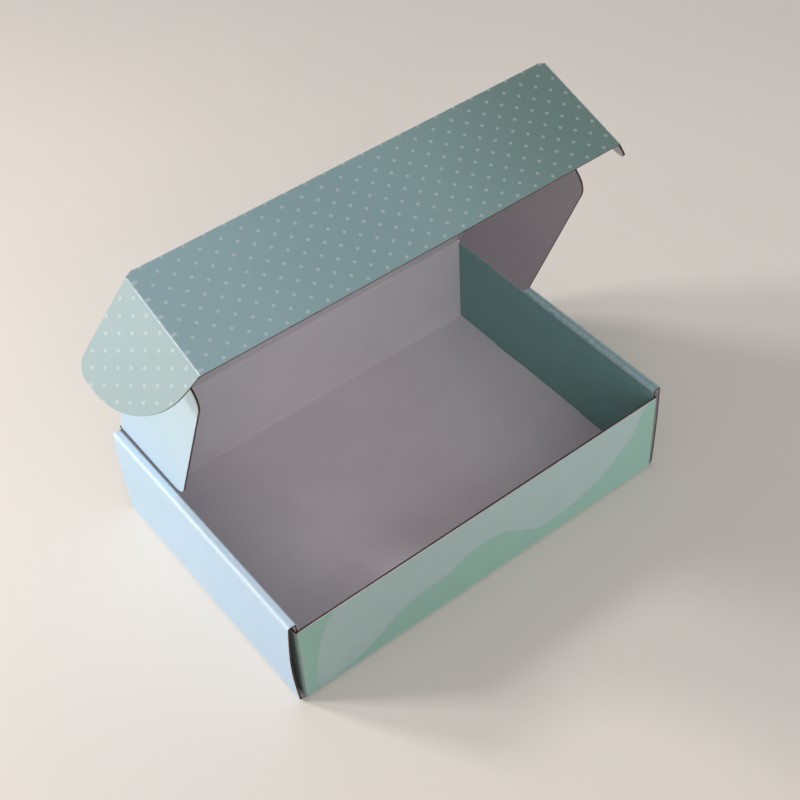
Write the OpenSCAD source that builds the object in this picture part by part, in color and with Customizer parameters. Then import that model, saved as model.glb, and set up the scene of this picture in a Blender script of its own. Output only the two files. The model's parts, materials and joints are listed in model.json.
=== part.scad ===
// Roll-end mailer box of corrugated board, standing open.
// The origin is the middle of the tray's underside. X runs along the front wall,
// Y from the front wall to the lid's hinge, and Z up.

/* [Tray] */
// Width over the side walls
box_width = 305; // [220:1:420]
// Depth over the front and rear walls
box_depth = 207; // [150:1:300]
// Height of the rolled side walls
side_height = 77.5; // [50:0.5:120]
// How far the front wall ends below the side walls
front_drop = 6.5; // [3:0.5:12]
// How far the lid's crease stands above the side walls
hinge_rise = 0.5; // [0:0.1:2]

/* [Board] */
// Thickness of the corrugated board
board = 1.5; // [1:0.1:3]
// Inside radius of the tray's folds
fold_radius = 0.6; // [0.3:0.1:1.5]
// Slit at each crease that turns
crease_slit = 0.2; // [0.1:0.05:0.5]

/* [Rolled side walls] */
// Distance of the side walls' ends behind the outer faces of the front and rear walls
side_setback = 2; // [1:0.5:5]
// Clearance on each face of an ear inside its side wall
ear_fit = 0.3; // [0.1:0.05:1]
// Clearance between a corner flap and the inner side panel
flap_fit = 0.15; // [0.05:0.05:0.5]
// Reach of the corner flaps along the side walls
corner_flap_reach = 60; // [30:1:80]
// Taper of the corner flaps at their free end
corner_flap_taper = 6; // [0:1:12]
// Corner radius of the corner flaps
corner_flap_corner = 8; // [2:1:15]
// Clearance of the corner flaps at the base and at the walls' tops
corner_flap_fit = 1; // [0.5:0.25:3]
// Width of the tabs that lock the inner side panels into the base
tab_width = 24; // [12:1:40]
// Distance between the two tabs of one side
tab_spacing = 95; // [60:1:140]
// Clearance around each tab in its slot
tab_fit = 0.3; // [0.1:0.05:1]

/* [Lid] */
// Opening of the lid as it stands, from closed
lid_opening = 67; // [0:1:180]
// Clearance between a wing and the inner side panel
lid_fit = 0.45; // [0.2:0.05:2]
// Gap between the closed front panel and the front wall
front_gap = 2.5; // [0.5:0.1:5]
// Length of the front panel from its crease to its free edge
front_panel_length = 74.5; // [40:0.5:110]
// Fold of the front panel as it stands, from flat
front_panel_fold = 85.5; // [0:0.5:90]
// Length over which the front panel widens below its crease
shoulder = 2.5; // [1:0.5:8]

/* [Wings] */
// Depth of the wings below the lid
wing_depth = 72; // [30:1:100]
// Slope of the wings' two tapered edges
wing_taper = 22.5; // [5:0.5:35]
// Distance of a wing's root from the lid's rear crease
wing_rear_inset = 1.5; // [1:0.5:20]
// Distance of a wing's root from the lid's front crease
wing_front_inset = 13; // [5:0.5:30]
// Corner radius of the wings
wing_corner = 13; // [3:1:25]
// Fold of the wings as they stand, from flat
wing_fold = 90; // [60:1:100]
// Fold at which a wing's crease closes up
wing_fold_limit = 100; // [90:1:110]

/* [Ears] */
// Reach of the ears from the front panel
ear_reach = 60; // [25:1:80]
// Slope of the ears' upper edge, which slips in below the side wall's top
ear_taper = 10; // [5:1:20]
// Corner radius at the end of the upper edge
ear_corner = 12; // [4:1:20]
// Radius of the sweep down to the front panel's free edge
ear_sweep = 45; // [15:1:50]
// Distance of an ear's root from the front panel's crease
ear_inset = 2.5; // [2:0.5:10]
// Fold of the left ear as it stands, from flat
left_ear_fold = 50; // [0:1:90]
// Fold of the right ear as it stands, from flat
right_ear_fold = 57; // [0:1:90]

/* [Hidden] */
$fn = 72;
half_w = box_width / 2;
half_d = box_depth / 2;
fold_outer = fold_radius + board;
// Layers of a rolled side wall, from the outer panel inwards
ear_face = half_w - board - ear_fit;
flap_face = ear_face - board - ear_fit;
inner_panel_face = flap_face - board - flap_fit;
inside_face = inner_panel_face - board;
wall_half = flap_face - fold_outer;
side_length = box_depth - 2 * side_setback;
front_height = side_height - front_drop;
hinge_height = side_height + hinge_rise;
corner_flap_low = fold_outer + corner_flap_fit;
front_flap_high = front_height - corner_flap_fit;
rear_flap_high = side_height - board - 2 * corner_flap_fit;
// The closed lid lies between the side walls and reaches past the front wall
lid_half = inside_face - lid_fit;
lid_length = box_depth + front_gap + board;
right_angle = 90;
// Lets a rounding arc cross the straight edges, where true tangents would leave slivers
arc_lap = 0.005;
reach_past = box_width;
print_colour = "#8fb5a8";
pale_colour = "#cfe3ee";
liner_colour = "#b9b4b4";

function unit(v) = v / norm(v);
function half_corner(before, at, after) = acos(unit(before - at) * unit(after - at)) / 2;
function along(at, to, distance) = at + unit(to - at) * distance;
// How far a crease's edge is cut back at the inner face, to close up at a given fold
function cut_back(fold) = board * tan(fold / 2);

// What a corner loses when it is rounded. The circle's seam is turned away from the arc.
module corner_waste(before, at, after, radius) {
    half = half_corner(before, at, after);
    back = radius / tan(half);
    middle = unit(before - at) + unit(after - at);
    centre = at + unit(middle) * radius / sin(half);
    difference() {
        polygon([at - unit(middle) * board, along(at, before, back), centre, along(at, after, back)]);
        translate(centre)
            rotate(atan2(middle.y, middle.x))
                circle(radius + arc_lap);
    }
}

// Convex outline with a true arc at each corner that has a radius
module rounded_outline(points, radii) {
    count = len(points);
    last = count - 1;
    difference() {
        polygon(points);
        for (i = [0:last])
            if (radii[i] > 0)
                corner_waste(points[(i + last) % count], points[i], points[(i + 1) % count], radii[i]);
    }
}

// A section drawn in X and Z, run along Y
module along_y(length) {
    rotate([90, 0, 0])
        linear_extrude(length, center = true)
            children();
}

// A section drawn in Y and Z, run along X
module along_x(length) {
    rotate([90, 0, 90])
        linear_extrude(length, center = true)
            children();
}

module both_sides() {
    children();
    mirror([1, 0, 0])
        children();
}

// Quarter of a fold, bulging towards +X and +Y
module fold_arc() {
    intersection() {
        difference() {
            circle(fold_outer);
            circle(fold_radius);
        }
        square(fold_outer);
    }
}

// Section of the right side wall: up from the base, over the top and down inside
module rolled_wall_section() {
    low = fold_outer;
    high = side_height - fold_outer;
    translate([half_w - fold_outer, low])
        mirror([0, 1])
            fold_arc();
    translate([half_w - board, low])
        square([board, high - low]);
    translate([half_w - fold_outer, high])
        fold_arc();
    translate([inside_face + fold_outer, side_height - board])
        square([half_w - inside_face - 2 * fold_outer, board]);
    translate([inside_face + fold_outer, high])
        mirror([1, 0])
            fold_arc();
    translate([inside_face, board + tab_fit])
        square([board, high - board - tab_fit]);
}

module tab_places() {
    for (end = [-1, 1])
        translate([0, end * tab_spacing / 2, 0])
            children();
}

// Tab below an inner side panel, narrower towards its tip
module lock_tab() {
    lead = board / 2;
    tip = tab_width / 2 - lead;
    translate([inside_face + board / 2, 0, 0])
        along_x(board)
            polygon([
                [-tip, tab_fit],
                [tip, tab_fit],
                [tab_width / 2, tab_fit + lead],
                [tab_width / 2, board + tab_fit],
                [-tab_width / 2, board + tab_fit],
                [-tab_width / 2, tab_fit + lead],
            ]);
}

module tab_slot() {
    size = [board + 2 * tab_fit, tab_width + 2 * tab_fit, 3 * board];
    translate([inside_face + board / 2, 0, 0])
        cube(size, center = true);
}

module base() {
    difference() {
        translate([fold_outer - half_w, fold_outer - half_d, 0])
            cube([box_width - 2 * fold_outer, box_depth - 2 * fold_outer, board]);
        both_sides()
            tab_places()
                tab_slot();
    }
}

module rolled_wall() {
    along_y(side_length)
        rolled_wall_section();
    tab_places()
        lock_tab();
}

// Flap at the right end of a wall, folded back between the layers of the side wall
module corner_flap(high) {
    root = half_d - fold_outer;
    free = root - corner_flap_reach;
    translate([wall_half, root, corner_flap_low])
        linear_extrude(high - corner_flap_low)
            fold_arc();
    translate([flap_face - board / 2, 0, 0])
        along_x(board)
            rounded_outline([
                [root, corner_flap_low],
                [root, high],
                [free, high - corner_flap_taper],
                [free, corner_flap_low + corner_flap_taper],
            ], [0, 0, corner_flap_corner, corner_flap_corner]);
}

// Section of an end wall that stands up from the base at the rear
module end_wall_section(outer_top, inner_top) {
    translate([half_d - fold_outer, fold_outer])
        mirror([0, 1])
            fold_arc();
    polygon([
        [half_d - board, fold_outer],
        [half_d, fold_outer],
        [half_d, outer_top],
        [half_d - board, inner_top],
    ]);
}

module front_wall() {
    mirror([0, 1, 0]) {
        along_x(2 * wall_half)
            end_wall_section(front_height, front_height);
        both_sides()
            corner_flap(front_flap_high);
    }
}

// The rear wall narrows above its corner flaps to the lid's own width
module rear_wall() {
    top = hinge_height - crease_slit / 2;
    shoulder_z = rear_flap_high + corner_flap_fit / 2;
    intersection() {
        along_x(2 * wall_half)
            end_wall_section(top, top - cut_back(right_angle));
        along_y(reach_past)
            polygon([
                [-wall_half, 0],
                [wall_half, 0],
                [wall_half, shoulder_z],
                [lid_half, shoulder_z + wall_half - lid_half],
                [lid_half, hinge_height],
                [-lid_half, hinge_height],
                [-lid_half, shoulder_z + wall_half - lid_half],
                [-wall_half, shoulder_z],
            ]);
    }
    both_sides()
        corner_flap(rear_flap_high);
}

module tray() {
    color(print_colour) {
        base();
        front_wall();
        rear_wall();
        both_sides()
            rolled_wall();
    }
}

// Places of the hinged panels: each child is drawn flat, outer face up on Z = 0,
// with its crease at the origin
module on_lid() {
    translate([0, half_d, hinge_height])
        rotate([-lid_opening, 0, 0])
            children();
}

module on_front_panel() {
    on_lid()
        translate([0, -lid_length, 0])
            rotate([front_panel_fold, 0, 0])
                children();
}

module right_crease(x, fold) {
    translate([x, 0, 0])
        rotate([0, fold, 0])
            children();
}

module left_crease(x, fold) {
    mirror([1, 0, 0])
        right_crease(x, fold)
            children();
}

// Section of a panel with creases on both of its edges
module creased_section(from, to, from_cut, to_cut) {
    polygon([
        [from, 0],
        [to, 0],
        [to - to_cut, -board],
        [from + from_cut, -board],
    ]);
}

// Board cut to an outline, with its edge along Y cut for the crease
module flap(fold_limit) {
    intersection() {
        translate([0, 0, -board])
            linear_extrude(board)
                children();
        along_y(3 * reach_past)
            creased_section(crease_slit / 2, reach_past, cut_back(fold_limit), 0);
    }
}

module lid_panel() {
    side = lid_half - crease_slit / 2;
    side_cut = cut_back(wing_fold_limit);
    end_cut = cut_back(right_angle);
    intersection() {
        along_x(box_width)
            creased_section(crease_slit / 2 - lid_length, -crease_slit / 2, end_cut, end_cut);
        along_y(3 * reach_past)
            creased_section(-side, side, side_cut, side_cut);
    }
}

module front_panel_board() {
    side = ear_face - crease_slit / 2;
    cut = cut_back(right_angle);
    intersection() {
        along_x(box_width)
            creased_section(-front_panel_length, -crease_slit / 2, 0, cut);
        along_y(reach_past)
            creased_section(-side, side, cut, cut);
        translate([0, 0, -2 * board])
            linear_extrude(3 * board)
                polygon([
                    [-lid_half, 0],
                    [-ear_face, -shoulder],
                    [-ear_face, -front_panel_length],
                    [ear_face, -front_panel_length],
                    [ear_face, -shoulder],
                    [lid_half, 0],
                ]);
    }
}

module wing() {
    rear = -wing_rear_inset;
    front = wing_front_inset - lid_length;
    slope = wing_depth * tan(wing_taper);
    flap(wing_fold_limit)
        rounded_outline([
            [0, rear],
            [wing_depth, rear - slope],
            [wing_depth, front + slope],
            [0, front],
        ], [0, wing_corner, wing_corner, 0]);
}

module ear() {
    upper = -ear_inset;
    lower = crease_slit - front_panel_length;
    flap(right_angle)
        rounded_outline([
            [0, upper],
            [ear_reach, upper - ear_reach * tan(ear_taper)],
            [ear_reach, lower],
            [0, lower],
        ], [0, ear_corner, ear_sweep, 0]);
}

module lid() {
    color(liner_colour)
        on_lid()
            lid_panel();
}

module front_panel() {
    color(print_colour)
        on_front_panel()
            front_panel_board();
}

module left_wing() {
    color(pale_colour)
        on_lid()
            left_crease(lid_half, wing_fold)
                wing();
}

module right_wing() {
    color(pale_colour)
        on_lid()
            right_crease(lid_half, wing_fold)
                wing();
}

module left_ear() {
    color(print_colour)
        on_front_panel()
            left_crease(ear_face, left_ear_fold)
                ear();
}

module right_ear() {
    color(print_colour)
        on_front_panel()
            right_crease(ear_face, right_ear_fold)
                ear();
}

tray();
lid();
front_panel();
left_wing();
right_wing();
left_ear();
right_ear();
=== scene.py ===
"""A roll-end mailer box of printed corrugated board, standing open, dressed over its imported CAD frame."""
import json
import math

import bmesh
import bpy
from mathutils import Matrix, Vector


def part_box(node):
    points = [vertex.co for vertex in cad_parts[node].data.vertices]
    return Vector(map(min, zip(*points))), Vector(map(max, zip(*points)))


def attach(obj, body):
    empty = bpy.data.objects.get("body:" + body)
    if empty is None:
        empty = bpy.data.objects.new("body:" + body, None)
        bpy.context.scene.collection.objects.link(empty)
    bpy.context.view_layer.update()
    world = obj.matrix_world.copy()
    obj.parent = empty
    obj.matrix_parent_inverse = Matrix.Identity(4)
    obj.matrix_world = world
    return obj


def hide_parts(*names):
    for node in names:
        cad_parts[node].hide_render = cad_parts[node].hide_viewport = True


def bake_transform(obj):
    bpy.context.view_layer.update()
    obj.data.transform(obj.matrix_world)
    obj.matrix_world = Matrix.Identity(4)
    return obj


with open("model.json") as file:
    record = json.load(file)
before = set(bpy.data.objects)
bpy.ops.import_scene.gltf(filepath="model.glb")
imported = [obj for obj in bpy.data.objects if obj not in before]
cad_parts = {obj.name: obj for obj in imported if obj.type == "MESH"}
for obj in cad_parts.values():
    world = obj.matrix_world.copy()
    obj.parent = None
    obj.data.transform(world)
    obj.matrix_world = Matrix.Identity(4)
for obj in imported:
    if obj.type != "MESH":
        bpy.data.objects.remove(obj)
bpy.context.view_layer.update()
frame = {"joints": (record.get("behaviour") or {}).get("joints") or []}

bl_info = {
    "name": "Roll-end mailer box",
    "version": (1, 0, 0),
    "blender": (4, 5, 0),
    "location": "View3D > Sidebar > Mailer",
    "description": "Builds the printed corrugated board of a folded mailer box on its CAD frame",
    "category": "Object",
}

JOINTS = {joint["name"]: joint for joint in frame["joints"]}
_, TRAY_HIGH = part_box("tray")
X_AXIS = Vector((1, 0, 0))
MM = 0.001
PRINT, LINER, KRAFT = range(3)

# Fine measures of the board, its folds and their wear
SIDE_GAP = 0.1 * MM
HAIRLINE = 0.05 * MM
FREE_EDGE_TRIM = 0.2 * MM
FOLD_ROW = 1.2 * MM
FOLD_WEAR_REACH = 0.4 * MM
LEAST_STEP = 0.02 * MM
OUTER_ROUND, INNER_ROUND, ROUND_STEPS = 0.9 * MM, 0.5 * MM, 6
FLUTE_STEPS = 8
SHARP_ANGLE = math.radians(32)
END_WEAR, SIDE_WEAR, FLAP_WEAR = 0.45, 0.35, 0.1
BAND_WEAR_SHARE, BAND_HOLD_SHARE = 0.7, 0.4


def crease_place(joint):
    """Where a joint's crease lies, as a point."""
    return Vector(JOINTS[joint]["pos_m"])


HINGE = crease_place("lid_hinge")
FRONT_CREASE = crease_place("front_panel_fold")
LID_HALF = crease_place("right_wing_fold").x
EAR_HALF = crease_place("right_ear_fold").x
LID_LENGTH = (FRONT_CREASE - HINGE).length
LID_ALONG = (FRONT_CREASE - HINGE).normalized()
LID_OUT = X_AXIS.cross(LID_ALONG) * -1
FRONT_ALONG = -Vector(JOINTS["left_ear_fold"]["axis"]).normalized()
FRONT_OUT = X_AXIS.cross(FRONT_ALONG) * -1
WING_TURN = math.radians(90)
EAR_TURN = {-1: math.radians(50), 1: math.radians(57)}
SIDE_NAME = {-1: "left", 1: "right"}


# Sizes and colours

def length(name, description, millimetres, least=0):
    """A length property, given in millimetres."""
    return bpy.props.FloatProperty(
        name=name, description=description, default=millimetres * MM, unit="LENGTH",
        precision=4, min=least * MM,
    )


def angle(name, description, degrees):
    """An angle property, given in degrees."""
    return bpy.props.FloatProperty(
        name=name, description=description, default=math.radians(degrees), subtype="ANGLE",
    )


def colour(name, description, red, green, blue):
    """A colour property, given as an sRGB colour from 0 to 255."""
    def linear(value):
        part = value / 255
        return part / 12.92 if part <= 0.04045 else ((part + 0.055) / 1.055) ** 2.4

    return bpy.props.FloatVectorProperty(
        name=name, description=description, subtype="COLOR", size=4, min=0, max=1,
        default=(linear(red), linear(green), linear(blue), 1),
    )


class MailerBoard(bpy.types.PropertyGroup):
    """Sizes of the corrugated board and its folds."""

    thickness: length("Thickness", "Thickness of the board", 1.5)
    liner: length("Liner", "Thickness of each facing sheet", 0.26)
    medium: length("Medium", "Thickness of the fluted sheet", 0.2)
    pitch: length("Flute pitch", "Distance from one flute to the next", 3.2, least=1)
    fold: length("Fold radius", "Outer radius of the tray's folds", 2.1)
    band: length("Crease band", "Width of pressed board on each side of a turning crease", 3)
    left_bow: length("Left bow", "How far the left outer panel bulges at its front end", 2.2)
    right_bow: length("Right bow", "How far the right outer panel bulges at its front end", 0.7)
    curl: length("Front panel curl", "How far the front panel's free edge bows", 0.8)


class MailerShape(bpy.types.PropertyGroup):
    """Sizes of the panels that the frame's joints don't give."""

    side_height: length("Side height", "Height of the rolled side walls", 77.5)
    front_height: length("Front height", "Height of the front wall", 71)
    side_setback: length("Side setback", "Side walls' ends behind the end walls' outer faces", 2)
    inside_half: length("Inside half width", "Half width between the inner side panels", 145.75)
    flap_half: length("Flap half width", "Half width over the corner flaps", 148.9)
    flap_reach: length("Flap reach", "Reach of the corner flaps along the sides", 60)
    flap_taper: length("Flap taper", "Taper of the corner flaps at their ends", 6)
    flap_corner: length("Flap corner", "Corner radius of the corner flaps", 8)
    tab_width: length("Tab width", "Width of the lock tabs", 24)
    tab_spacing: length("Tab spacing", "Distance between the two tabs of a side", 95)
    tab_fit: length("Tab fit", "Clearance of a lock tab in its slot", 0.3)
    front_panel: length("Front panel", "Length of the front panel", 74.5)
    shoulder: length("Shoulder", "Length over which the front panel widens", 2.5)
    wing_depth: length("Wing depth", "Depth of the wings", 72)
    wing_slope: angle("Wing slope", "Slope of the wings' tapered edges", 22.5)
    wing_spare: angle("Wing spare", "Angle left open at each half of a wing's crease for its inward travel", 6)
    wing_rear: length("Wing rear", "Distance of a wing's root from the lid's hinge", 1.5)
    wing_front: length("Wing front", "Distance of a wing's root from the front crease", 13)
    wing_corner: length("Wing corner", "Corner radius of the wings", 13)
    ear_reach: length("Ear reach", "Reach of the ears", 60)
    ear_slope: angle("Ear slope", "Slope of the ears' upper edge", 10)
    ear_corner: length("Ear corner", "Corner radius at the end of an ear's upper edge", 12)
    ear_sweep: length("Ear sweep", "Radius of the sweep down to the front panel's free edge", 45)


class MailerPrint(bpy.types.PropertyGroup):
    """Colours of the print, the paper and the stage."""

    teal: colour("Teal", "Ground of the dotted print", 126, 155, 157)
    # Teal blue and deep teal are partly print, partly painted light and shade: lighter and bluer at the left, darker
    # at the right
    teal_blue: colour("Teal blue", "Bluer end of the dotted print", 139, 168, 174)
    teal_deep: colour("Deep teal", "Darker end of the dotted print", 94, 124, 117)
    # A paler colour for the left ear than for the rest of the lid and front panel
    teal_pale: colour("Pale teal", "Left ear's end of the dotted print", 156, 177, 176)
    deep: colour("Deep wall", "Inner panel of the right side wall", 100, 148, 140)
    slate: colour("Slate", "Top of the right side wall", 112, 156, 160)
    dot: colour("Dots", "Dots of the dotted print", 236, 240, 240)
    mint: colour("Mint", "Ground of the end and side walls", 151, 195, 182)
    haze: colour("Haze", "Paler field on the walls", 175, 201, 198)
    sky: colour("Sky", "Ground of the left side wall", 181, 205, 225)
    sky_pale: colour("Pale sky", "Paler end of the left side wall", 183, 209, 227)
    frost: colour("Frost", "Print of the wings", 190, 212, 217)
    liner: colour("Liner", "Inside of the board", 216, 210, 215)
    # Painted shade: a darker copy of the liner, for the inside of the wings
    shaded_liner: colour("Shaded liner", "Inside of the wings", 168, 162, 166)
    paper: colour("Paper", "White paper that shows at worn creases", 232, 236, 236)
    kraft: colour("Kraft", "Cut edges of the board", 112, 88, 76)
    floor: colour("Floor", "Floor and backdrop", 226, 218, 210)
    dot_pitch: length("Dot pitch", "Distance between dots along a row", 13.7)
    dot_radius: length("Dot radius", "Radius of a dot", 1.1)
    dot_strength: bpy.props.FloatProperty(
        name="Dot strength", description="How far a dot covers its ground",
        default=0.26, subtype="FACTOR", min=0, max=1,
    )


def board():
    return bpy.context.scene.mailer_board


def shape():
    return bpy.context.scene.mailer_shape


def inks():
    return bpy.context.scene.mailer_print


# Folding: places of the board's points

class FoldPath:
    """The printed face of a folded strip, seen end on. It turns left at each fold, and the print is on its right."""

    def __init__(self, start, heading):
        self.parts = []
        self.end = Vector(start)
        self.angle = math.radians(heading)
        self.reach = 0

    def _heading(self, turn=0):
        return Vector((math.cos(self.angle + turn), math.sin(self.angle + turn)))

    def line(self, distance):
        self.parts.append((self.reach, distance, self.end.copy(), self.angle, 0))
        self.end = self.end + self._heading() * distance
        self.reach += distance
        return self

    def fold(self, radius):
        arc = radius * math.pi / 2
        self.parts.append((self.reach, arc, self.end.copy(), self.angle, radius))
        self.end = self.end + (self._heading() + self._heading(math.pi / 2)) * radius
        self.angle += math.pi / 2
        self.reach += arc
        return self

    def at(self, distance):
        """Point and outward direction at a distance along the path."""
        part = self.parts[0]
        for candidate in self.parts:
            if distance >= candidate[0] - 1e-9:
                part = candidate
        begin, _, start, angle, radius = part
        along = distance - begin
        if radius == 0:
            ahead = Vector((math.cos(angle), math.sin(angle)))
            return start + ahead * along, Vector((ahead.y, -ahead.x))
        turn = along / radius
        side = Vector((math.sin(angle), -math.cos(angle)))
        outward = Vector((math.sin(angle + turn), -math.cos(angle + turn)))
        return start - side * radius + outward * radius, outward

    def stops(self, steps=7):
        """Distances at which a mesh along the path needs a row."""
        found = [0]
        for begin, distance, _, _, radius in self.parts:
            count = steps if radius else 1
            found += [begin + distance * (k + 1) / count for k in range(count)]
            if radius:
                found += [begin - FOLD_ROW, begin + distance + FOLD_ROW]
        return sorted(stop for stop in found if 0 <= stop <= self.reach)

    def folded(self, distance):
        """1 on a fold, 0 away from it."""
        for begin, reach, _, _, radius in self.parts:
            if radius and begin - FOLD_WEAR_REACH <= distance <= begin + reach + FOLD_WEAR_REACH:
                return 1
        return 0


def flat_place(origin, across, along, outward, bulge=None):
    """Places a panel that is flat, apart from a gentle bulge."""
    def place(a, b, c):
        lift = bulge(a, b) if bulge else 0
        return origin + across * a + along * b + outward * (c + lift)
    return place


def rounded_outline(corners, radii, steps=14):
    """Points of a convex outline whose corners turn on arcs."""
    points = []
    count = len(corners)
    for i, radius in enumerate(radii):
        at = Vector(corners[i])
        if radius == 0:
            points.append(at)
            continue
        to_last = (Vector(corners[i - 1]) - at).normalized()
        to_next = (Vector(corners[(i + 1) % count]) - at).normalized()
        half = to_last.angle(to_next) / 2
        centre = at + (to_last + to_next).normalized() * radius / math.sin(half)
        first = at + to_last * radius / math.tan(half) - centre
        sweep = first.angle_signed(at + to_next * radius / math.tan(half) - centre)
        for k in range(steps + 1):
            points.append(centre + Matrix.Rotation(-sweep * k / steps, 2) @ first)
    return points


def spread(points, a):
    """Lowest and highest b of a convex outline at a given a."""
    found = []
    for i, p in enumerate(points):
        q = points[i - 1]
        if abs(p.x - q.x) < 1e-9:
            if abs(p.x - a) < 1e-7:
                found += [p.y, q.y]
        elif min(p.x, q.x) - 1e-9 <= a <= max(p.x, q.x) + 1e-9:
            found.append(p.y + (q.y - p.y) * (a - p.x) / (q.x - p.x))
    return min(found), max(found)


def columns(low, high, step, stops=()):
    """Sorted stations from low to high, a step apart, with the given stops among them."""
    inner = [k * step for k in range(math.ceil(low / step), math.floor(high / step) + 1)]
    found = []
    for value in sorted([low, high, *inner, *(s for s in stops if low <= s <= high)]):
        if not found or value - found[-1] > LEAST_STEP:
            found.append(value)
    found[-1] = high
    return found


def between(low, high, count):
    """Evenly spaced values from low to high."""
    return [low + (high - low) * k / count for k in range(count + 1)]


# Board: two facing sheets with a fluted sheet between them

class BoardPiece:
    """Faces of one piece, gathered before they become a mesh."""

    def __init__(self, name):
        self.name = name
        self.points, self.sheet, self.crease = [], [], []
        self.faces, self.finish = [], []

    def point(self, place, sheet, crease):
        self.points.append(place)
        self.sheet.append(sheet)
        self.crease.append(crease)
        return len(self.points) - 1

    def face(self, corners, finish):
        self.faces.append(corners)
        self.finish.append(finish)

    def layer(self, stations, rows, heights, place, finish, keep=None, crease=None, sheet=None):
        """One closed sheet over a grid. rows(a) gives the b values of a column, heights(a) its two faces."""
        grid = [rows(a) for a in stations]
        made = {}

        def corner(i, j, side):
            if (i, j, side) not in made:
                a, b = stations[i], grid[i][j]
                made[i, j, side] = self.point(
                    place(a, b, heights(a)[side]),
                    sheet(a, b) if sheet else (a, b),
                    crease(a, b) if crease else 0,
                )
            return made[i, j, side]

        def kept(i, j):
            if not (0 <= i < len(stations) - 1 and 0 <= j < len(grid[0]) - 1):
                return False
            tall = max(grid[k][j + 1] - grid[k][j] for k in (i, i + 1))
            if tall < 1e-7:
                return False
            middle_b = sum(grid[k][m] for k in (i, i + 1) for m in (j, j + 1)) / 4
            return keep is None or keep((stations[i] + stations[i + 1]) / 2, middle_b)

        for i in range(len(stations) - 1):
            for j in range(len(grid[0]) - 1):
                if not kept(i, j):
                    continue
                ring = [(i, j), (i + 1, j), (i + 1, j + 1), (i, j + 1)]
                self.face([corner(*at, 0) for at in ring], finish[0])
                self.face([corner(*at, 1) for at in reversed(ring)], finish[1])
                beside = [(i, j - 1), (i + 1, j), (i, j + 1), (i - 1, j)]
                for k, other in enumerate(beside):
                    if not kept(*other):
                        one, two = ring[k], ring[(k + 1) % 4]
                        self.face([corner(*two, 0), corner(*one, 0), corner(*one, 1), corner(*two, 1)], finish[2])

    def corrugated(self, low, high, rows, place, stops=(), keep=None, crease=None, sheet=None):
        """Printed liner, fluted medium and plain liner over one panel."""
        size = board()
        thick, liner, medium = size.thickness, size.liner, size.medium
        swing = thick / 2 - liner - medium / 2
        coarse = columns(low, high, size.pitch, stops)
        fine = columns(low, high, size.pitch / FLUTE_STEPS, stops)

        def flute(a):
            middle = -thick / 2 + swing * math.sin(2 * math.pi * a / size.pitch)
            return middle + medium / 2, middle - medium / 2

        extras = dict(keep=keep, crease=crease, sheet=sheet)
        self.layer(coarse, rows, lambda a: (0, -liner), place, (PRINT, KRAFT, LINER), **extras)
        self.layer(fine, rows, flute, place, (KRAFT, KRAFT, KRAFT), **extras)
        self.layer(coarse, rows, lambda a: (liner - thick, -thick), place, (KRAFT, LINER, KRAFT), **extras)

    def finished(self, finishes):
        """The piece as an object, with its materials for print, liner and cut edges."""
        mesh = bpy.data.meshes.new(self.name)
        mesh.from_pydata([tuple(p) for p in self.points], [], self.faces)
        mesh.polygons.foreach_set("material_index", self.finish)
        at = mesh.attributes.new("sheet", "FLOAT_VECTOR", "POINT")
        at.data.foreach_set("vector", [value for a, b in self.sheet for value in (a, b, 0)])
        worn = mesh.attributes.new("crease", "FLOAT", "POINT")
        worn.data.foreach_set("value", self.crease)
        shell = bmesh.new()
        shell.from_mesh(mesh)
        bmesh.ops.recalc_face_normals(shell, faces=shell.faces)
        shell.to_mesh(mesh)
        shell.free()
        mesh.shade_smooth()
        mesh.set_sharp_from_angle(angle=SHARP_ANGLE)
        for finish in finishes:
            mesh.materials.append(finish)
        piece = bpy.data.objects.new(self.name, mesh)
        bpy.context.scene.collection.objects.link(piece)
        return piece


def crease_strip(name, origin, along, span, outer, inner, across, finishes, sheet):
    """Pressed board beside a crease, drawn end on by its outer and inner points.
    across gives their places on the flat sheet."""
    piece = BoardPiece(name)
    last = len(outer) - 1
    rows = []
    for b in span:
        row = []
        for points in (outer, inner):
            made = []
            for d, p in zip(across, points):
                worn = max(0, 1 - abs(d) / (BAND_WEAR_SHARE * board().band))
                made.append(piece.point(origin + along * b + p, sheet(d, b), worn))
            row.append(made)
        rows.append(row)
    for (out_a, in_a), (out_b, in_b) in zip(rows, rows[1:]):
        for k in range(last):
            piece.face([out_a[k], out_a[k + 1], out_b[k + 1], out_b[k]], PRINT)
            piece.face([in_b[k], in_b[k + 1], in_a[k + 1], in_a[k]], LINER)
        for k in (0, last):
            piece.face([out_a[k], out_b[k], in_b[k], in_a[k]], KRAFT)
    for out_row, in_row in (rows[0], rows[-1]):
        for k in range(last):
            piece.face([out_row[k], out_row[k + 1], in_row[k + 1], in_row[k]], KRAFT)
    return piece.finished(finishes)


def rounded_corner(corner, one, two, start):
    """Points of a small curve that cuts a corner between two directions."""
    one, two = corner + one * start, corner + two * start
    return [
        one * (1 - t) ** 2 + corner * (2 * t * (1 - t)) + two * t * t
        for t in between(0, 1, ROUND_STEPS)
    ]


def crease_turn(first, second):
    """How far a crease turns between two panels, each given as its directions away from it and outward."""
    return math.acos(max(-1, min(1, -first[0].dot(second[0]))))


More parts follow.
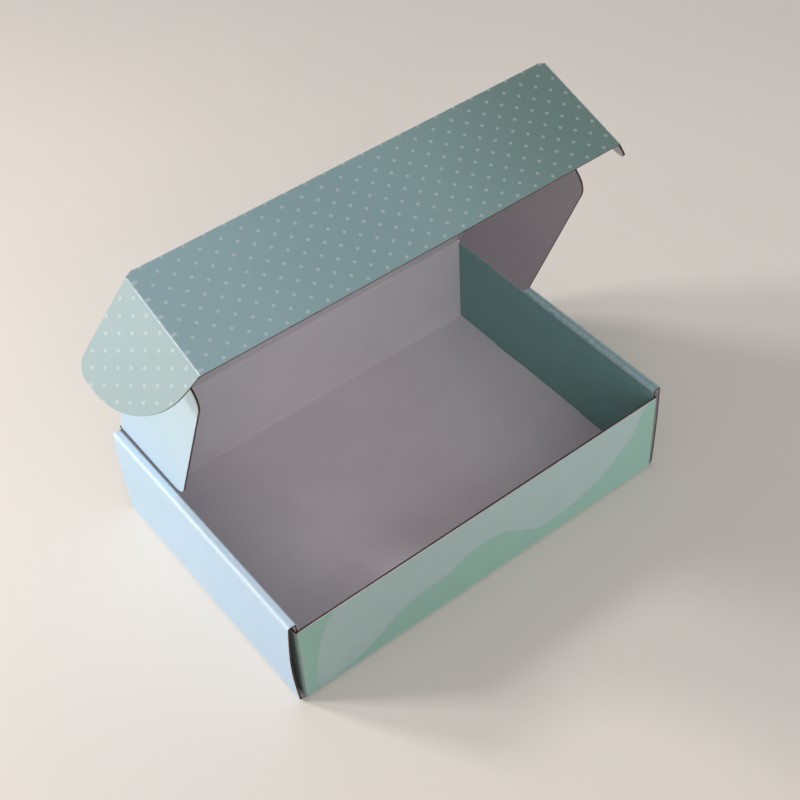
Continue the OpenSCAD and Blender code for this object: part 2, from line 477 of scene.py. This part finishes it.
def crease_band(name, origin, along, span, first, second, finishes, sheet):
    """Pressed board over a turning crease, shaped to the turn between the two panels that it joins.
    first and second are each a direction away from the crease and an outward direction."""
    thick, wide = board().thickness, board().band
    inner_corner = first[0] * (thick * math.tan(crease_turn(first, second) / 2)) - first[1] * thick
    outer = [first[0] * wide, *rounded_corner(Vector(), first[0], second[0], OUTER_ROUND), second[0] * wide]
    inner = [
        first[0] * wide - first[1] * thick,
        *rounded_corner(inner_corner, first[0], second[0], INNER_ROUND),
        second[0] * wide - second[1] * thick,
    ]
    across = between(-wide, wide, len(outer) - 1)
    band = crease_strip(name, origin, along, span, outer, inner, across, finishes, sheet)
    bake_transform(band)


def split_crease(name, origin, along, span, first, second, finishes, bodies, sheet):
    """Pressed board over a crease of small travel, in two mitred halves that each ride on their own panel."""
    thick, wide = board().thickness, board().band
    mitre = thick * math.tan(crease_turn(first, second) / 2 + shape().wing_spare)
    count = ROUND_STEPS // 2 + 1
    halves = ((first, second, bodies[0], -1), (second, first, bodies[1], 1))
    for (away, outward), (other, _), body, way in halves:
        outer = [away * wide, *rounded_corner(Vector(), away, other, OUTER_ROUND)[:count]]
        outer[-1] = outer[-1] + away * HAIRLINE
        inner = [away * d - outward * thick for d in between(wide, mitre, count)]
        half = crease_strip(
            f"{name}_{body}_half", origin, along, span, outer, inner,
            [way * d for d in between(wide, 0, count)], finishes, sheet,
        )
        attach(half, body)


def flap_place(crease, half, side, turn, along, outward):
    """Directions of a flap that folds down from the side of a panel: its crease, its run and its outward side."""
    sideways = X_AXIS * side
    return (
        crease + sideways * half,
        sideways * math.cos(turn) - outward * math.sin(turn),
        sideways * math.sin(turn) + outward * math.cos(turn),
        along,
    )


def wing_place(side):
    return flap_place(HINGE, LID_HALF, side, WING_TURN, LID_ALONG, LID_OUT)


def ear_place(side):
    return flap_place(FRONT_CREASE, EAR_HALF, side, EAR_TURN[side], FRONT_ALONG, FRONT_OUT)


# Finishes

class Finish:
    """A material built node by node, with short names for the nodes that the finishes share."""

    def __init__(self, name):
        self.material = bpy.data.materials.new(name)
        self.material.use_nodes = True
        self.tree = self.material.node_tree
        self.shader = self.tree.nodes["Principled BSDF"]

    def node(self, kind, inputs=(), **settings):
        made = self.tree.nodes.new(kind)
        for key, value in settings.items():
            setattr(made, key, value)
        for key, value in dict(inputs).items():
            if isinstance(value, bpy.types.NodeSocket):
                self.tree.links.new(value, made.inputs[key])
            else:
                made.inputs[key].default_value = value
        return made

    def math(self, operation, first, second=0.0, third=0.0):
        inputs = {0: first, 1: second, 2: third}
        return self.node("ShaderNodeMath", inputs, operation=operation).outputs[0]

    def vector(self, operation, first, second=(0, 0, 0)):
        made = self.node("ShaderNodeVectorMath", {0: first, 1: second}, operation=operation)
        return made.outputs["Value" if operation == "LENGTH" else "Vector"]

    def ramp(self, value, low, high, to_low=0.0, to_high=1.0, smooth=True):
        inputs = {"Value": value, "From Min": low, "From Max": high, "To Min": to_low, "To Max": to_high}
        kind = "SMOOTHSTEP" if smooth else "LINEAR"
        return self.node("ShaderNodeMapRange", inputs, interpolation_type=kind).outputs["Result"]

    def mix(self, share, first, second):
        """A blend of two colours, whose sockets a mix node has at these places."""
        return self.node("ShaderNodeMix", {0: share, 6: first, 7: second}, data_type="RGBA").outputs[2]

    def noise(self, scale, detail=3.0, rough=0.55, place=None):
        inputs = {"Scale": scale, "Detail": detail, "Roughness": rough}
        if place is not None:
            inputs["Vector"] = place
        return self.node("ShaderNodeTexNoise", inputs).outputs["Fac"]

    def sheet(self):
        """Places on the flat sheet, in metres: across the flutes, and along them."""
        place = self.node("ShaderNodeAttribute", attribute_name="sheet").outputs["Vector"]
        parts = self.node("ShaderNodeSeparateXYZ", {0: place})
        return place, parts.outputs["X"], parts.outputs["Y"]

    def flutes(self, across):
        """Ridges of the flutes, from -1 to 1."""
        return self.math("SINE", self.math("MULTIPLY", across, 2 * math.pi / board().pitch))

    def crease(self):
        return self.node("ShaderNodeAttribute", attribute_name="crease").outputs["Fac"]

    def curve(self, value, points):
        """A curve drawn through points, each from 0 to 1."""
        made = self.node("ShaderNodeFloatCurve", {"Value": value})
        drawn = made.mapping.curves[0].points
        for k, point in enumerate(points):
            if k < 2:
                drawn[k].location = point
            else:
                drawn.new(*point)
        made.mapping.update()
        return made.outputs["Value"]

    def surface(self, colour, rough, height, distance, strength=0.6):
        links = self.tree.links
        links.new(colour, self.shader.inputs["Base Color"])
        links.new(rough, self.shader.inputs["Roughness"])
        bump = self.node("ShaderNodeBump", {"Height": height, "Strength": strength, "Distance": distance})
        links.new(bump.outputs["Normal"], self.shader.inputs["Normal"])
        return self.material


def ink(name):
    """One of the colours, as a shader takes it."""
    return tuple(getattr(inks(), name))


def tinted(colour, factor):
    """A colour made darker or lighter by a factor."""
    return tuple(min(1, part * factor) for part in colour[:3]) + (1,)


def printed(finish, ground):
    """Ink on coated paper: faint mottle, flutes that show through, and paper that shows at worn creases."""
    place, across, _ = finish.sheet()
    mottle = finish.noise(38, 4, place=place)
    fibre = finish.noise(1500, 3, place=place)
    tone = finish.ramp(mottle, 0.25, 0.75, 0.0, 0.07, smooth=False)
    colour = finish.mix(tone, ground, tinted(ink("teal_deep"), 0.82))
    grain = finish.ramp(fibre, 0.3, 0.7, 0.0, 0.07, smooth=False)
    colour = finish.mix(grain, colour, ink("paper"))
    scuff = finish.noise(260, 5, 0.7, place)
    worn = finish.math("MULTIPLY", finish.crease(), finish.ramp(scuff, 0.34, 0.62, 0.25, 0.95))
    colour = finish.mix(worn, colour, ink("paper"))
    rough = finish.ramp(mottle, 0.2, 0.8, 0.46, 0.5, smooth=False)
    height = finish.math("MULTIPLY_ADD", finish.flutes(across), 0.5, finish.math("MULTIPLY", fibre, 0.12))
    return finish.surface(colour, rough, height, 0.012 * MM)


def dots(finish):
    """Staggered rows of dots, 1 inside a dot."""
    place, _, _ = finish.sheet()
    pitch = inks().dot_pitch
    drop = 0.93 * pitch
    first_across, first_along = 0.79, 0.37
    near = []
    for shift in (0, 0.5):
        cell = finish.vector("DIVIDE", place, (pitch, drop, 1))
        cell = finish.vector("ADD", cell, (shift + first_across, shift + first_along, 0))
        cell = finish.vector("SUBTRACT", finish.vector("FRACTION", cell), (0.5, 0.5, 0))
        near.append(finish.vector("LENGTH", finish.vector("MULTIPLY", cell, (pitch, drop, 0))))
    closest = finish.math("MINIMUM", *near)
    radius = inks().dot_radius
    return finish.ramp(closest, radius * 1.35, radius * 0.6, 0.0, inks().dot_strength)


def dotted_print():
    """The lid, its front panel and its ears: teal with small paler dots."""
    finish = Finish("dotted_print")
    _, across, _ = finish.sheet()
    # Partly print, partly painted light and shade: the ground is lighter and bluer towards the left and darker towards
    # the right
    ground = finish.mix(finish.ramp(across, -150 * MM, 0), ink("teal_blue"), ink("teal"))
    ground = finish.mix(finish.ramp(across, 0, 150 * MM), ground, ink("teal_deep"))
    # Paler on the left ear
    ground = finish.mix(finish.ramp(across, -EAR_HALF, -EAR_HALF - 4 * MM), ground, ink("teal_pale"))
    return printed(finish, finish.mix(dots(finish), ground, ink("dot")))


def wall_print():
    """The end walls and their corner flaps: mint with a paler field that ends in a long wave."""
    finish = Finish("wall_print")
    _, across, along = finish.sheet()
    half_width, height, flap = 152 * MM, shape().front_height, shape().flap_half
    part = finish.ramp(across, -half_width, half_width, smooth=False)
    wave = [(0, 0.93), (1, 0), (0.05, 0.96), (0.12, 0.93), (0.2, 0.8), (0.27, 0.63), (0.4, 0.55), (0.47, 0.46),
            (0.53, 0.48), (0.6, 0.66), (0.67, 0.79), (0.8, 0.7), (0.87, 0.52), (0.93, 0.27), (0.96, 0.02)]
    edge = finish.math("MULTIPLY", finish.curve(part, wave), height)
    field = finish.ramp(finish.math("SUBTRACT", edge, along), -0.6 * MM, 1.2 * MM)
    hook = [(0, 0.65), (1, 0.12), (0.17, 0.383), (0.415, 0.173), (0.7, 0.05), (0.93, 0.06)]
    turn = finish.curve(finish.ramp(along, 0, height, smooth=False), hook)
    left = finish.math("MULTIPLY_ADD", turn, 30 * MM, -140 * MM)
    field = finish.math("MULTIPLY", field, finish.ramp(finish.math("SUBTRACT", across, left), -0.6 * MM, 1 * MM))
    ground = finish.mix(field, ink("mint"), ink("haze"))
    # Painted light and shade: the walls' print is darkened towards the left and lightened towards the right
    painted_light_and_flap_shade = finish.ramp(across, -150 * MM, 150 * MM, 0.8, 1.14, smooth=False)
    # The corner flaps are darkened: partly painted shade of the narrow gap between side and end walls, partly their
    # darker print
    flap_print_and_painted_shade = finish.ramp(finish.math("ABSOLUTE", across), flap, flap + 1.5 * MM, 1.0, 0.35)
    painted_light_and_flap_shade = finish.math("MULTIPLY", painted_light_and_flap_shade, flap_print_and_painted_shade)
    return printed(finish, finish.vector("MULTIPLY", ground, painted_light_and_flap_shade))


def rolled_print():
    """The right side wall: mint outside, a cooler top, and deep teal with a paler field inside."""
    finish = Finish("rolled_print")
    _, across, along = finish.sheet()
    top = shape().side_height - 3 * MM
    part = finish.ramp(across, -102 * MM, 102 * MM, smooth=False)
    edge = finish.curve(part, [(0, 0.9), (1, 0.99), (0.25, 0.84), (0.5, 0.8), (0.75, 0.88)])
    past_edge = finish.math("SUBTRACT", along, finish.math("MULTIPLY", edge, top))
    field = finish.ramp(past_edge, -0.8 * MM, 1.2 * MM)
    paler = tuple(0.72 * dark + 0.28 * cool for dark, cool in zip(ink("deep"), ink("slate")))
    inside = finish.mix(field, ink("deep"), paler)
    ground = finish.mix(finish.ramp(along, top - 1 * MM, top + 2 * MM), inside, ink("slate"))
    return printed(finish, finish.mix(finish.ramp(along, top + 6 * MM, top + 20 * MM), ground, ink("mint")))


def sky_print():
    """The left side wall: pale blue, paler towards the hinge."""
    finish = Finish("sky_print")
    _, _, along = finish.sheet()
    ground = finish.mix(finish.ramp(along, -100 * MM, 100 * MM), ink("sky"), ink("sky_pale"))
    return printed(finish, ground)


def frost_print():
    """The wings: a very pale mint that cools towards the hinge."""
    finish = Finish("frost_print")
    _, across, along = finish.sheet()
    ground = finish.mix(finish.ramp(along, 0, 200 * MM), ink("sky_pale"), ink("frost"))
    return printed(finish, finish.mix(finish.ramp(across, -0.4 * MM, 0.4 * MM), ink("teal"), ground))


def liner_paper(name, colour):
    """Grey-white paper with fibres and faint flute lines."""
    finish = Finish(name)
    place, across, _ = finish.sheet()
    cloud = finish.noise(22, 4, place=place)
    stretched = finish.vector("MULTIPLY", place, (1, 0.35, 1))
    fibre = finish.noise(900, 6, 0.65, stretched)
    darker = tinted(colour, 0.95)
    tint = finish.mix(finish.ramp(cloud, 0.3, 0.7), darker, colour)
    flecks = finish.ramp(fibre, 0.62, 0.78, 0.0, 0.16)
    tint = finish.mix(flecks, tint, tinted(colour, 0.6))
    rough = finish.ramp(fibre, 0.3, 0.7, 0.62, 0.8, smooth=False)
    height = finish.math("MULTIPLY_ADD", finish.flutes(across), 0.3, fibre)
    return finish.surface(tint, rough, height, 0.04 * MM)


def plain_liner():
    """The inside of the board."""
    return liner_paper("plain_liner", ink("liner"))


def shaded_liner():
    """The inside of the wings: the liner darkened, as painted shade."""
    return liner_paper("shaded_liner", ink("shaded_liner"))


def kraft_edge():
    """Brown fluted paper at the cut edges, torn and flecked."""
    finish = Finish("kraft_edge")
    place = finish.node("ShaderNodeTexCoord").outputs["Object"]
    blotch = finish.noise(420, 5, 0.6, place)
    fibre = finish.noise(2600, 3, 0.6, place)
    colour = ink("kraft")
    lighter = tinted(colour, 2.2)
    darker = tinted(colour, 0.5)
    tint = finish.mix(finish.ramp(blotch, 0.35, 0.65), darker, colour)
    tint = finish.mix(finish.ramp(fibre, 0.58, 0.74, 0.0, 0.5), tint, lighter)
    rough = finish.ramp(fibre, 0.3, 0.7, 0.75, 0.95, smooth=False)
    return finish.surface(tint, rough, fibre, 0.2 * MM)


def finishes(print_finish, liner=plain_liner):
    """Print, liner and cut edge for one piece. Each material is made once."""
    return [bpy.data.materials.get(make.__name__) or make() for make in (print_finish, liner, kraft_edge)]


# Pieces

class MailerOperator:
    """What the operators share."""

    bl_options = {"REGISTER", "UNDO"}


class MAILER_OT_floor_and_ends(MailerOperator, bpy.types.Operator):
    """Base, front wall and rear wall, folded from one strip"""

    bl_idname = "mailer.floor_and_ends"
    bl_label = "Floor and ends"

    def execute(self, context):
        size, form = board(), shape()
        half_w, half_d, fold = TRAY_HIGH.x, TRAY_HIGH.y, size.fold
        rise = form.front_height - fold
        path = FoldPath((-half_d, form.front_height), -90).line(rise).fold(fold)
        floor_start = path.reach
        path.line(2 * (half_d - fold)).fold(fold)
        rear_start = path.reach
        path.line(HINGE.z - fold - size.band)
        end_half, under_roll = form.flap_half - fold, 1.5 * MM
        slot_x, slot_half = form.inside_half + size.thickness / 2, size.thickness / 2 + form.tab_fit
        slot_y, slot_reach = form.tab_spacing / 2, form.tab_width / 2 + form.tab_fit

        def floor_y(b):
            return b - floor_start - half_d + fold

        slots = [floor_start + half_d - fold + k * slot_y + m * slot_reach for k in (-1, 1) for m in (-1, 1)]
        stops = sorted(path.stops() + slots)

        def rows(a):
            narrowing = rear_start + form.side_height - size.thickness - under_roll - fold + end_half - abs(a)
            top = path.reach if abs(a) <= LID_HALF else min(path.reach, narrowing)
            return [min(b, top) for b in stops]

        def keep(a, b):
            on_floor = floor_start < b < floor_start + 2 * (half_d - fold)
            if not on_floor:
                return abs(a) < end_half
            in_slot = abs(abs(a) - slot_x) < slot_half and abs(abs(floor_y(b)) - slot_y) < slot_reach
            return not in_slot

        def place(a, b, c):
            at, out = path.at(b)
            return Vector((a, at.x + out.x * c, at.y + out.y * c))

        marks = (end_half, slot_x - slot_half, slot_x + slot_half, LID_HALF)
        piece = BoardPiece("floor_and_ends")
        piece.corrugated(
            fold - half_w, half_w - fold, rows, place, keep=keep,
            stops=[side * mark for side in (-1, 1) for mark in marks],
            crease=lambda a, b: END_WEAR * path.folded(b),
        )
        tray = piece.finished(finishes(wall_print))
        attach(tray, "tray")
        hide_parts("tray")
        return {"FINISHED"}


class MAILER_OT_side_walls(MailerOperator, bpy.types.Operator):
    """The two side walls, each rolled over and locked into the base"""

    bl_idname = "mailer.side_walls"
    bl_label = "Rolled side walls"

    def execute(self, context):
        size, form = board(), shape()
        fold, half_w = size.fold, TRAY_HIGH.x
        path = FoldPath((half_w - fold, 0), 0).fold(fold)
        panel_start = path.reach
        path.line(form.side_height - 2 * fold)
        panel_end = path.reach
        path.fold(fold).line(half_w - form.inside_half - 2 * fold).fold(fold)
        path.line(form.side_height - fold - size.thickness - form.tab_fit)
        tabs_start = path.reach
        path.line(size.thickness)
        end = TRAY_HIGH.y - form.side_setback
        tab_y, tab_half = form.tab_spacing / 2, form.tab_width / 2
        edges = [k * tab_y + m * tab_half for k in (-1, 1) for m in (-1, 1)]
        stops = sorted(between(-end, end, 10) + edges)
        rear_share = 0.25

        def bulge(a, b, bow):
            if not panel_start < a < panel_end:
                return 0
            front = rear_share + (1 - rear_share) * ((end - b) / (2 * end)) ** 2
            return bow * front * math.sin(math.pi * (a - panel_start) / (panel_end - panel_start))

        def keep(a, b):
            return a < tabs_start or abs(abs(b) - tab_y) < tab_half

        for side, finish, bow in ((-1, sky_print, size.left_bow), (1, rolled_print, size.right_bow)):
            def place(a, b, c):
                at, out = path.at(a)
                lift = c + bulge(a, b, bow)
                return Vector((side * (at.x + out.x * lift), b, at.y + out.y * lift))

            piece = BoardPiece(SIDE_NAME[side] + "_side_wall")
            piece.corrugated(
                0, path.reach, lambda a: stops, place, stops=path.stops(), keep=keep,
                crease=lambda a, b: SIDE_WEAR * path.folded(a),
                sheet=(lambda a, b: (a, b)) if side < 0 else (lambda a, b: (b, path.reach - a)),
            )
            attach(piece.finished(finishes(finish)), "tray")
        return {"FINISHED"}


class MAILER_OT_corner_flaps(MailerOperator, bpy.types.Operator):
    """The four flaps that fold from the end walls into the side walls"""

    bl_idname = "mailer.corner_flaps"
    bl_label = "Corner flaps"

    def execute(self, context):
        size, form = board(), shape()
        fold, gap = size.fold, 1 * MM
        start = (form.flap_half - fold, -TRAY_HIGH.y)
        path = FoldPath(start, 0).fold(fold)
        root = path.reach
        path.line(form.flap_reach)
        low = fold + gap
        highs = {-1: form.front_height - gap, 1: form.side_height - size.thickness - 2 * gap}
        for end, high in highs.items():
            outline = rounded_outline(
                [(root, low), (root, high), (path.reach, high - form.flap_taper), (path.reach, low + form.flap_taper)],
                [0, 0, form.flap_corner, form.flap_corner],
            )

            def rows(a):
                return between(*(spread(outline, a) if a > root else (low, high)), 2)

            for side in (-1, 1):
                def place(a, b, c):
                    at, out = path.at(a)
                    return Vector((side * (at.x + out.x * c), -end * (at.y + out.y * c), b))

                piece = BoardPiece(f"{SIDE_NAME[side]}_{'front' if end < 0 else 'rear'}_corner_flap")
                piece.corrugated(
                    0, path.reach, rows, place, stops=path.stops() + [p.x for p in outline],
                    crease=lambda a, b: FLAP_WEAR * path.folded(a),
                    sheet=lambda a, b: (side * (form.flap_half + a), form.front_height - b),
                )
                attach(piece.finished(finishes(wall_print)), "tray")
        return {"FINISHED"}


class MAILER_OT_lid_panel(MailerOperator, bpy.types.Operator):
    """The lid's panel between its creases"""

    bl_idname = "mailer.lid_panel"
    bl_label = "Lid panel"

    def execute(self, context):
        side, band, inset = LID_HALF - SIDE_GAP, board().band, 20 * MM
        wing_start, wing_end = wing_span()
        rows_between = between(inset, LID_LENGTH - inset, 6)
        stops = sorted([band, wing_start, *rows_between, wing_end, LID_LENGTH - band])
        piece = BoardPiece("lid_panel")
        piece.corrugated(
            -side, side, lambda a: stops, flat_place(HINGE, X_AXIS, LID_ALONG, LID_OUT),
            stops=(band - LID_HALF, LID_HALF - band),
            keep=lambda a, b: abs(a) < LID_HALF - band or not wing_start < b < wing_end,
        )
        lid = piece.finished(finishes(dotted_print))
        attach(lid, "lid")
        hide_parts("lid")
        return {"FINISHED"}


def wing_span():
    """Where a wing's crease starts and ends along the lid."""
    form, band = shape(), board().band
    taper = band * math.tan(form.wing_slope)
    return max(form.wing_rear + taper, band) + HAIRLINE, LID_LENGTH - form.wing_front - taper - HAIRLINE


def ear_span():
    """Where an ear's crease starts and ends along the front panel."""
    form, band = shape(), board().band
    return form.shoulder + band * math.tan(form.ear_slope) + HAIRLINE, form.front_panel - FREE_EDGE_TRIM


class MAILER_OT_front_panel(MailerOperator, bpy.types.Operator):
    """The lid's front panel, with its widening shoulders"""

    bl_idname = "mailer.front_panel"
    bl_label = "Front panel"

    def execute(self, context):
        size, form = board(), shape()
        side, band = EAR_HALF - SIDE_GAP, size.band
        ear_start, ear_end = ear_span()
        widening = EAR_HALF - LID_HALF

        def rows(a):
            wide = abs(a) - LID_HALF
            top = band if wide < -HAIRLINE else form.shoulder * max(0, wide) / widening
            return [max(top, b) for b in stops]

        def bulge(a, b):
            return -size.curl * math.cos(math.pi / 2 * a / EAR_HALF) * (b / form.front_panel) ** 2

        rows_between = between(12 * MM, 66 * MM, 5)
        stops = sorted([0, band, ear_start, *rows_between, ear_end, form.front_panel])
        marks = (LID_HALF - SIDE_GAP, LID_HALF, EAR_HALF - band)
        piece = BoardPiece("front_panel_board")
        piece.corrugated(
            -side, side, rows, flat_place(FRONT_CREASE, X_AXIS, FRONT_ALONG, FRONT_OUT, bulge),
            stops=[k * mark for k in (-1, 1) for mark in marks],
            keep=lambda a, b: abs(a) < EAR_HALF - band or not ear_start < b < ear_end,
        )
        panel = piece.finished(finishes(dotted_print))
        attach(panel, "front_panel")
        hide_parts("front_panel")
        return {"FINISHED"}


class MAILER_OT_wings(MailerOperator, bpy.types.Operator):
    """The two tapered wings at the lid's sides"""

    bl_idname = "mailer.wings"
    bl_label = "Wings"

    def execute(self, context):
        form = shape()
        front = LID_LENGTH - form.wing_front
        slope = form.wing_depth * math.tan(form.wing_slope)
        outline = rounded_outline(
            [(0, form.wing_rear), (form.wing_depth, form.wing_rear + slope),
             (form.wing_depth, front - slope), (0, front)],
            [0, form.wing_corner, form.wing_corner, 0],
        )
        # The wings' inside takes the liner darkened as painted shade
        build_flaps("wing", wing_place, outline, form.wing_depth, finishes(frost_print, shaded_liner),
                    lambda side, a: a)
        return {"FINISHED"}


class MAILER_OT_ears(MailerOperator, bpy.types.Operator):
    """The two rounded ears at the front panel's sides"""

    bl_idname = "mailer.ears"
    bl_label = "Ears"

    def execute(self, context):
        form = shape()
        low = form.front_panel - FREE_EDGE_TRIM
        outline = rounded_outline(
            [(0, form.shoulder), (form.ear_reach, form.shoulder + form.ear_reach * math.tan(form.ear_slope)),
             (form.ear_reach, low), (0, low)],
            [0, form.ear_corner, form.ear_sweep, 0],
        )
        build_flaps("ear", ear_place, outline, form.ear_reach, finishes(dotted_print),
                    lambda side, a: side * (EAR_HALF + a))
        return {"FINISHED"}


def build_flaps(kind, place_of, outline, reach, finish, sheet_across):
    """A flap on each side, cut to an outline, from its crease band to its free edge."""
    for side in (-1, 1):
        origin, across, outward, along = place_of(side)
        piece = BoardPiece(f"{SIDE_NAME[side]}_{kind}_board")
        piece.corrugated(
            board().band, reach, lambda a: between(*spread(outline, a), 6),
            flat_place(origin, across, along, outward),
            stops=[p.x for p in outline], sheet=lambda a, b: (sheet_across(side, a), b),
        )
        flap = piece.finished(finish)
        node = f"{SIDE_NAME[side]}_{kind}"
        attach(flap, node)
        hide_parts(node)


class MAILER_OT_creases(MailerOperator, bpy.types.Operator):
    """Pressed board over the six creases that turn"""

    bl_idname = "mailer.creases"
    bl_label = "Turning creases"

    def execute(self, context):
        wide = between(SIDE_GAP - LID_HALF, LID_HALF - SIDE_GAP, 8)
        wing_start, wing_end = wing_span()
        wing_rows = between(wing_start + SIDE_GAP, wing_end - SIDE_GAP, 8)
        crease_band(
            "lid_hinge_crease", HINGE, X_AXIS, wide,
            (Vector((0, 0, -1)), Vector((0, 1, 0))), (LID_ALONG, LID_OUT),
            finishes(dotted_print), lambda d, b: (b, d),
        )
        crease_band(
            "front_panel_crease", FRONT_CREASE, X_AXIS, wide,
            (-LID_ALONG, LID_OUT), (FRONT_ALONG, FRONT_OUT),
            finishes(dotted_print), lambda d, b: (b, d),
        )
        for side in (-1, 1):
            origin, across, outward, along = wing_place(side)
            split_crease(
                SIDE_NAME[side] + "_wing_crease", origin, along, wing_rows,
                (X_AXIS * -side, LID_OUT), (across, outward),
                finishes(frost_print), ("lid", SIDE_NAME[side] + "_wing"), lambda d, b: (d, b),
            )
            origin, across, outward, along = ear_place(side)
            crease_band(
                SIDE_NAME[side] + "_ear_crease", origin, along, between(*ear_span(), 4),
                (X_AXIS * -side, FRONT_OUT), (across, outward),
                finishes(dotted_print),
                lambda d, b: (side * (EAR_HALF + d), b),
            )
        return {"FINISHED"}


# Each lamp's name, place, side, power in watts and spread in degrees
LAMPS = (
    ("rear_softbox", (-1.0, 1.25, 0.95), 0.3, 3.0, 88),
    ("side_softbox", (-1.42, 0.92, 1.05), 0.3, 3.5, 88),
    ("front_softbox", (-0.9, -1.9, 1.4), 1.4, 13, 180),
)
LAMP_AIM = Vector((0, 0, 0.1))
WORLD_COLOUR, WORLD_STRENGTH = (0.96, 0.95, 0.96, 1), 0.51


class MAILER_OT_stage(MailerOperator, bpy.types.Operator):
    """Floor, soft light and camera"""

    bl_idname = "mailer.stage"
    bl_label = "Stage"

    def execute(self, context):
        scene = context.scene
        scene.view_settings.view_transform = "Standard"
        finish = Finish("studio_floor")
        cloud = finish.noise(3, 2, place=finish.node("ShaderNodeTexCoord").outputs["Object"])
        pale = ink("floor")
        tint = finish.mix(finish.ramp(cloud, 0.3, 0.7), tinted(pale, 0.97), pale)
        finish.surface(tint, finish.ramp(cloud, 0, 1, 0.7, 0.9), cloud, 0.1 * MM, 0.1)
        mesh = bpy.data.meshes.new("studio_floor")
        reach, below = 6, -0.4 * MM
        corners = [(x * reach, y * reach, below) for x, y in ((-1, -1), (1, -1), (1, 1), (-1, 1))]
        mesh.from_pydata(corners, [], [(0, 1, 2, 3)])
        mesh.materials.append(finish.material)
        floor = bpy.data.objects.new("studio_floor", mesh)
        scene.collection.objects.link(floor)

        world = bpy.data.worlds.new("studio")
        world.use_nodes = True
        backdrop = world.node_tree.nodes["Background"]
        backdrop.inputs["Color"].default_value = WORLD_COLOUR
        backdrop.inputs["Strength"].default_value = WORLD_STRENGTH
        scene.world = world
        for lamp in LAMPS:
            self.lamp(*lamp)

        camera = bpy.data.cameras.new("photo_camera")
        camera.lens, camera.sensor_width = 66.656, 36
        view = bpy.data.objects.new("photo_camera", camera)
        right = (0.78734, -0.61476, -0.04643)
        up = (0.47210, 0.55276, 0.68672)
        ahead = (0.39650, 0.56260, -0.72544)
        stand = (-0.38124, -0.55628, 0.79670)
        view.matrix_world = Matrix([(right[k], up[k], -ahead[k], stand[k]) for k in range(3)] + [(0, 0, 0, 1)])
        scene.collection.objects.link(view)
        scene.camera = view
        return {"FINISHED"}

    def lamp(self, name, place, size, power, spread):
        lamp = bpy.data.lights.new(name, "AREA")
        lamp.shape, lamp.size, lamp.energy, lamp.spread = "SQUARE", size, power, math.radians(spread)
        holder = bpy.data.objects.new(name, lamp)
        holder.location = place
        holder.rotation_euler = (LAMP_AIM - Vector(place)).to_track_quat("-Z", "Y").to_euler()
        bpy.context.scene.collection.objects.link(holder)


STEPS = (
    MAILER_OT_floor_and_ends, MAILER_OT_side_walls, MAILER_OT_corner_flaps, MAILER_OT_lid_panel,
    MAILER_OT_front_panel, MAILER_OT_wings, MAILER_OT_ears, MAILER_OT_creases, MAILER_OT_stage,
)
GROUPS = {MailerBoard: "mailer_board", MailerShape: "mailer_shape", MailerPrint: "mailer_print"}


class MAILER_PT_steps(bpy.types.Panel):
    """Lists the pieces in the order in which they are made"""

    bl_idname = "MAILER_PT_steps"
    bl_label = "Mailer box"
    bl_space_type = "VIEW_3D"
    bl_region_type = "UI"
    bl_category = "Mailer"

    def draw(self, context):
        for step in STEPS:
            self.layout.operator(step.bl_idname)
        for group in GROUPS.values():
            settings = getattr(context.scene, group)
            for name in settings.bl_rna.properties.keys():
                if name not in ("rna_type", "name"):
                    self.layout.prop(settings, name)


def register():
    for group, name in GROUPS.items():
        bpy.utils.register_class(group)
        setattr(bpy.types.Scene, name, bpy.props.PointerProperty(type=group))
    for step in (*STEPS, MAILER_PT_steps):
        bpy.utils.register_class(step)


def unregister():
    for step in reversed((*STEPS, MAILER_PT_steps)):
        bpy.utils.unregister_class(step)
    for group, name in GROUPS.items():
        delattr(bpy.types.Scene, name)
        bpy.utils.unregister_class(group)


def main():
    register()
    bpy.ops.mailer.floor_and_ends()
    bpy.ops.mailer.side_walls()
    bpy.ops.mailer.corner_flaps()
    bpy.ops.mailer.lid_panel()
    bpy.ops.mailer.front_panel()
    bpy.ops.mailer.wings()
    bpy.ops.mailer.ears()
    bpy.ops.mailer.creases()
    bpy.ops.mailer.stage()


if __name__ == "__main__":
    main()
